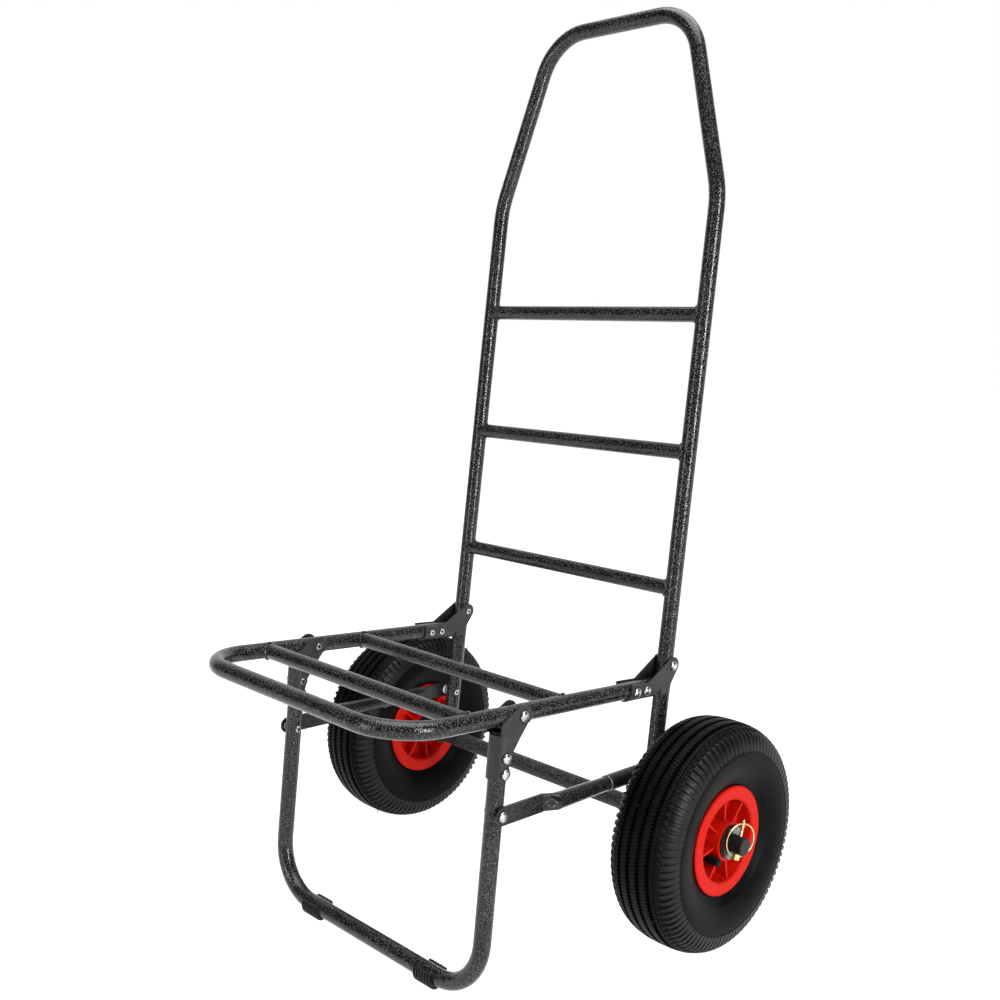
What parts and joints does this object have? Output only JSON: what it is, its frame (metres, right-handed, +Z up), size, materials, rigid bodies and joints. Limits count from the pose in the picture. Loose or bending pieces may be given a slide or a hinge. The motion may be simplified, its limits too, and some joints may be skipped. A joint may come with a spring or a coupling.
{
  "type": "hand truck",
  "caption": "Folding tubular hand truck: tall ladder frame with hand loop, fold-up platform with a folding leg and side struts, and pneumatic wheels on red rims.",
  "frame": {"origin": "on the ground at the centre of the whole truck's bounding box", "axes": "+Z up, X along the axle (+X is the truck's left-hand wheel seen from behind the handle), the platform points to -Y and the uprights lean to +Y"},
  "size_m": [0.613, 0.5366, 1.0664],
  "materials": {
    "frame_paint": "hammertone powder coat",
    "bracket_paint": "satin",
    "strut_paint": "satin",
    "bright_zinc": "bright zinc plate",
    "yellow_zinc": "yellow passivated zinc",
    "clear_nylon": "satin",
    "black_plastic": "satin moulded",
    "tyre_rubber": "matte",
    "valve_rubber": "satin",
    "rim_red": "semi-gloss moulded"
  },
  "bodies": {
    "back_frame": {"handle_frame_tube": "frame_paint", "rung_upper": "frame_paint", "rung_middle": "frame_paint", "rung_lower": "frame_paint", "axle_tube": "frame_paint", "axle_end_caps": "black_plastic", "axle_spacers": "black_plastic", "hub_washers": "bright_zinc", "linch_pin_left": "yellow_zinc", "linch_pin_right": "yellow_zinc", "frame_pivot_rivets": "bright_zinc", "strut_rear_rivets": "bright_zinc", "strut_rear_washers": "clear_nylon"},
    "platform": {"platform_tube": "frame_paint", "crossbar_front": "frame_paint", "crossbar_rear": "frame_paint", "platform_tube_plugs": "black_plastic", "rear_bracket_left": "bracket_paint", "rear_bracket_right": "bracket_paint", "rear_bracket_rivets": "bright_zinc", "platform_leg_rivets": "bright_zinc"},
    "leg": {"leg_tube": "frame_paint", "leg_tube_plugs": "black_plastic", "leg_bracket_left": "bracket_paint", "leg_bracket_right": "bracket_paint", "leg_bracket_rivets": "bright_zinc", "foot_left": "black_plastic", "foot_right": "black_plastic", "strut_front_rivets": "bright_zinc", "strut_front_washers": "clear_nylon"},
    "strut_left": {"strut_front_left": "strut_paint", "strut_rear_left": "strut_paint"},
    "strut_right": {"strut_front_right": "strut_paint", "strut_rear_right": "strut_paint"},
    "wheel_left": {"tyre_left": "tyre_rubber", "inner_tube_left": "valve_rubber", "rim_outer_left": "rim_red", "rim_inner_left": "rim_red", "hub_bushes_left": "black_plastic", "valve_stem_left": "valve_rubber", "valve_cap_left": "valve_rubber"},
    "wheel_right": {"tyre_right": "tyre_rubber", "inner_tube_right": "valve_rubber", "rim_outer_right": "rim_red", "rim_inner_right": "rim_red", "hub_bushes_right": "black_plastic", "valve_stem_right": "valve_rubber", "valve_cap_right": "valve_rubber"},
    "linch_ring_left": {"linch_ring_left": "yellow_zinc"},
    "linch_ring_right": {"linch_ring_right": "yellow_zinc"}
  },
  "joints": [
    {"name": "platform_fold", "type": "hinge", "parent": "back_frame", "child": "platform", "pos_m": [0, 0.15161, 0.3038], "axis": [-1, 0, 0], "range_deg": [0, 80]},
    {"name": "leg_fold", "type": "hinge", "parent": "platform", "child": "leg", "pos_m": [0, -0.09919, 0.30644], "axis": [-1, 0, 0], "range_deg": [-86.5, 0]},
    {"name": "strut_left_fold", "type": "hinge", "parent": "back_frame", "child": "strut_left", "pos_m": [-0.1841, 0.13076, 0.1931], "axis": [-1, 0, 0], "range_deg": [0, 77.5]},
    {"name": "strut_right_fold", "type": "hinge", "parent": "back_frame", "child": "strut_right", "pos_m": [0.1841, 0.13076, 0.1931], "axis": [-1, 0, 0], "range_deg": [0, 77.5]},
    {"name": "wheel_left_spin", "type": "hinge", "parent": "back_frame", "child": "wheel_left", "pos_m": [-0.2515, 0.12521, 0.13], "axis": [1, 0, 0], "continuous": true},
    {"name": "wheel_right_spin", "type": "hinge", "parent": "back_frame", "child": "wheel_right", "pos_m": [0.2515, 0.12521, 0.13], "axis": [1, 0, 0], "continuous": true},
    {"name": "linch_ring_left_swivel", "type": "hinge", "parent": "back_frame", "child": "linch_ring_left", "pos_m": [-0.297, 0.12016, 0.11748], "axis": [0.2756, -0.8913, 0.3601], "range_deg": [0, 150]},
    {"name": "linch_ring_right_swivel", "type": "hinge", "parent": "back_frame", "child": "linch_ring_right", "pos_m": [0.297, 0.12016, 0.11748], "axis": [0.2756, 0.8913, -0.3601], "range_deg": [0, 150]}
  ],
  "couplings": [
    {"joint": "leg_fold", "follows": "platform_fold", "ratio": -1.0785},
    {"joint": "strut_left_fold", "follows": "platform_fold", "ratio": 0.9653},
    {"joint": "strut_right_fold", "follows": "platform_fold", "ratio": 0.9653}
  ]
}
